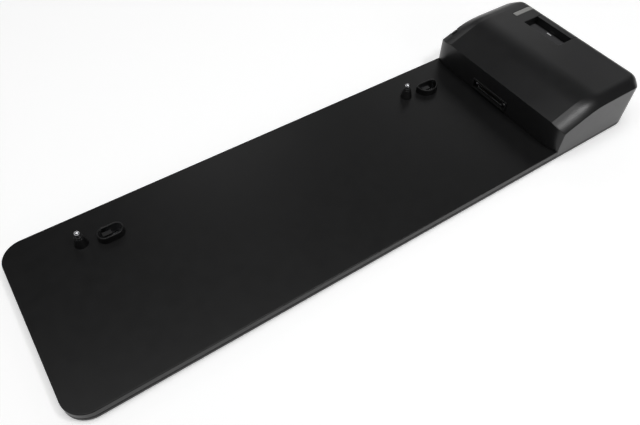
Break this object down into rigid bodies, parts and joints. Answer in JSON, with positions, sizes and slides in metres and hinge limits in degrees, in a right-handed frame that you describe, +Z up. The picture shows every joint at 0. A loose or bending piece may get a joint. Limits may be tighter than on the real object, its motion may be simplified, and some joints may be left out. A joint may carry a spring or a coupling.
{
  "type": "laptop docking station",
  "caption": "Flat laptop docking tray with a raised connector housing at one end, alignment posts, latch collars, a side slider that drives the docking connector, and ports.",
  "frame": {"origin": "centre of the plan, on the surface that the feet stand on", "axes": "+X along the tray towards the connector housing, +Y to the rear, +Z up"},
  "size_m": [0.41, 0.121, 0.038],
  "materials": {
    "base_plastic": "fine moulded texture, very dark",
    "tray_plastic": "satin black, fine moulded texture",
    "housing_plastic": "satin black, fine moulded texture",
    "trim_plastic": "plain black",
    "frame_plastic": "dark grey moulding",
    "foot_rubber": "matt black",
    "screw_steel": "zinc plated",
    "sheet_steel": "zinc plated sheet",
    "black_steel": "blackened sheet",
    "spring_steel": "spring steel",
    "polished_steel": "polished",
    "tinned_steel": "tin plated",
    "circuit_board": "green solder mask",
    "brass_parts": "turned brass",
    "bronze_parts": "sintered bronze",
    "gold_contacts": "gold plated",
    "port_blue": "blue port insert",
    "mark_print": "pale grey mark",
    "button_silver": "silver grey satin"
  },
  "bodies": {
    "dock": {"base_shell": "base_plastic", "tray_cover": "tray_plastic", "housing_cover": "housing_plastic", "rubber_feet": "foot_rubber", "case_screws": "screw_steel", "stiffener_plate": "sheet_steel", "post_sleeve_left": "tray_plastic", "post_sleeve_right": "tray_plastic", "align_post_left": "polished_steel", "align_post_right": "polished_steel", "latch_collar_left": "tray_plastic", "latch_collar_right": "tray_plastic", "connector_bezel": "trim_plastic", "slider_well": "trim_plastic", "slider_mark": "mark_print", "slide_chassis": "sheet_steel", "guide_rods": "polished_steel", "lever_pivot_pin": "polished_steel", "detent_spring": "spring_steel", "main_board": "circuit_board", "board_screws": "screw_steel", "riser_board": "circuit_board", "riser_standoffs": "brass_parts", "shield_can": "tinned_steel", "vga_shell": "tinned_steel", "vga_insert": "port_blue", "network_jack": "tinned_steel", "network_contacts": "gold_contacts", "display_shells": "tinned_steel", "display_tongues": "trim_plastic", "power_jack": "trim_plastic", "power_jack_pin": "polished_steel", "usb_shells": "tinned_steel", "usb_tongues": "port_blue", "audio_jack": "trim_plastic", "rear_port_plate": "trim_plastic", "side_port_plate": "trim_plastic", "cable_lock_plate": "sheet_steel", "button_board": "circuit_board", "button_switch": "trim_plastic"},
    "connector_slide": {"connector_carriage": "frame_plastic", "carriage_bushes": "bronze_parts", "carriage_drive_pin": "polished_steel", "slider_cap": "housing_plastic", "connector_body": "trim_plastic", "connector_shell": "tinned_steel", "connector_tongue": "trim_plastic", "connector_contacts": "gold_contacts", "connector_guide_pins": "polished_steel"},
    "lever": {"link_lever": "sheet_steel"},
    "latch": {"lock_bar": "sheet_steel", "latch_hook_left": "black_steel", "latch_hook_right": "black_steel", "lock_bar_pin": "polished_steel"},
    "button": {"power_button": "button_silver"}
  },
  "joints": [
    {"name": "docking_slide", "type": "slide", "parent": "dock", "child": "connector_slide", "axis": [-1, 0, 0], "range_m": [0, 0.008]},
    {"name": "lever_pivot", "type": "hinge", "parent": "dock", "child": "lever", "pos_m": [0.15, 0.02, 0.0064], "axis": [0, 0, -1], "range_deg": [0, 22.7]},
    {"name": "latch_slide", "type": "slide", "parent": "dock", "child": "latch", "axis": [1, 0, 0], "range_m": [0, 0.0041]},
    {"name": "power_button_press", "type": "slide", "parent": "dock", "child": "button", "axis": [0, 0, -1], "range_m": [0, 0.0008], "stiffness_N_per_m": 1500, "springref_m": -0.0003}
  ],
  "couplings": [
    {"joint": "lever_pivot", "follows": "docking_slide", "rad_per_m": 49.349},
    {"joint": "latch_slide", "follows": "docking_slide", "ratio": 0.5}
  ]
}
